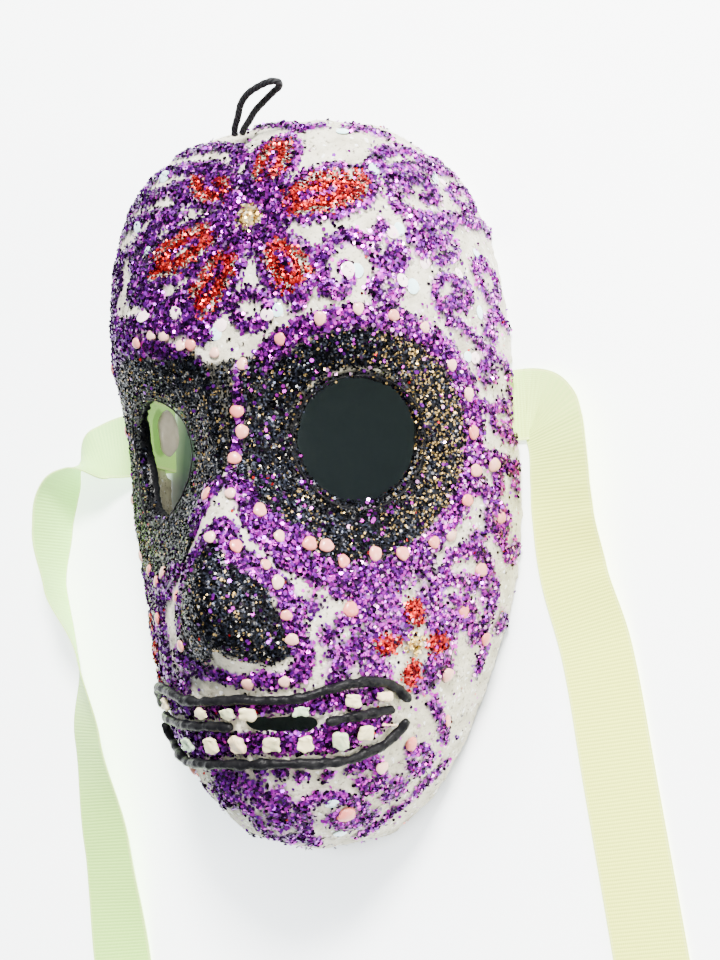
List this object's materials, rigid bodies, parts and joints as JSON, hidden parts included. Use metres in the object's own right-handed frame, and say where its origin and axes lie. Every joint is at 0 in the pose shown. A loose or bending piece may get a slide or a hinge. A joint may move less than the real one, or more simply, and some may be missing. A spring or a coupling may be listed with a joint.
{
  "type": "papier-mache sugar skull mask",
  "caption": "Hollow papier-mache sugar skull face mask with round eye holes, glitter relief decoration, ribbon ties and a hanging loop.",
  "frame": {"origin": "on the table, under the middle of the mask and its two laid-out ribbon ties, hanging loop left out", "axes": "+Z out of the face, away from the table; +Y from the chin to the crown; +X to the right of the face seen from the front"},
  "size_m": [0.215, 0.2958, 0.0876],
  "materials": {
    "papier_mache": "rough painted pulp",
    "black_glitter": "fine sparkling flakes",
    "black_paint": "glossy dried fabric paint",
    "purple_glitter": "large sparkling hexagonal flakes",
    "red_glitter": "fine sparkling flakes",
    "gold_glitter": "large sparkling flakes",
    "gem_paint": "pearly dried paint",
    "ribbon_cloth": "matte grosgrain weave",
    "braided_cord": "braided elastic",
    "hot_glue": "clear to milky, smooth"
  },
  "bodies": {
    "mask": {"chin_scroll": "purple_glitter", "forehead_flower_centre": "gold_glitter", "forehead_petal_left": "red_glitter", "forehead_petal_lower_left": "red_glitter", "forehead_petal_lower_right": "red_glitter", "forehead_petal_top": "red_glitter", "forehead_petal_upper_left": "red_glitter", "forehead_petal_upper_right": "red_glitter", "left_brow_scroll": "purple_glitter", "left_cheek_centre": "gold_glitter", "left_cheek_petal_bottom": "red_glitter", "left_cheek_petal_inner": "red_glitter", "left_cheek_petal_outer": "red_glitter", "left_cheek_petal_top": "red_glitter", "left_eye_band": "purple_glitter", "left_eye_patch": "black_glitter", "left_eye_rim": "black_paint", "left_ribbon_end": "ribbon_cloth", "left_ribbon_glue": "hot_glue", "left_temple_scroll": "purple_glitter", "loop_knot": "braided_cord", "lower_teeth_band": "purple_glitter", "lower_tooth_1": "gem_paint", "lower_tooth_2": "gem_paint", "lower_tooth_3": "gem_paint", "lower_tooth_4": "gem_paint", "lower_tooth_5": "gem_paint", "lower_tooth_6": "gem_paint", "lower_tooth_7": "gem_paint", "lower_tooth_8": "gem_paint", "mask_shell": "papier_mache", "mouth_left_parting": "black_paint", "mouth_lower_line": "black_paint", "mouth_right_parting": "black_paint", "mouth_upper_line": "black_paint", "nose_patch": "black_glitter", "right_brow_scroll": "purple_glitter", "right_cheek_centre": "gold_glitter", "right_cheek_petal_bottom": "red_glitter", "right_cheek_petal_inner": "red_glitter", "right_cheek_petal_outer": "red_glitter", "right_cheek_petal_top": "red_glitter", "right_eye_band": "purple_glitter", "right_eye_patch": "black_glitter", "right_eye_rim": "black_paint", "right_ribbon_end": "ribbon_cloth", "right_ribbon_glue": "hot_glue", "right_temple_scroll": "purple_glitter", "upper_teeth_band": "purple_glitter", "upper_tooth_1": "gem_paint", "upper_tooth_2": "gem_paint", "upper_tooth_3": "gem_paint", "upper_tooth_4": "gem_paint", "upper_tooth_5": "gem_paint", "upper_tooth_6": "gem_paint", "upper_tooth_7": "gem_paint"},
    "loop": {"hanging_loop": "braided_cord"},
    "right_tie": {"right_ribbon": "ribbon_cloth"},
    "left_tie": {"left_ribbon": "ribbon_cloth"}
  },
  "joints": [
    {"name": "hanging_loop_swing", "type": "hinge", "parent": "mask", "child": "loop", "pos_m": [-0.00607, 0.13773, 0.05465], "axis": [1, 0, 0], "range_deg": [-50, 60]},
    {"name": "right_ribbon_lift", "type": "hinge", "parent": "mask", "child": "right_tie", "pos_m": [0.06193, 0.05703, 0.0013], "axis": [0, -1, 0], "range_deg": [0, 50]},
    {"name": "left_ribbon_lift", "type": "hinge", "parent": "mask", "child": "left_tie", "pos_m": [-0.06927, 0.05703, 0.0013], "axis": [0, 1, 0], "range_deg": [0, 50]}
  ]
}
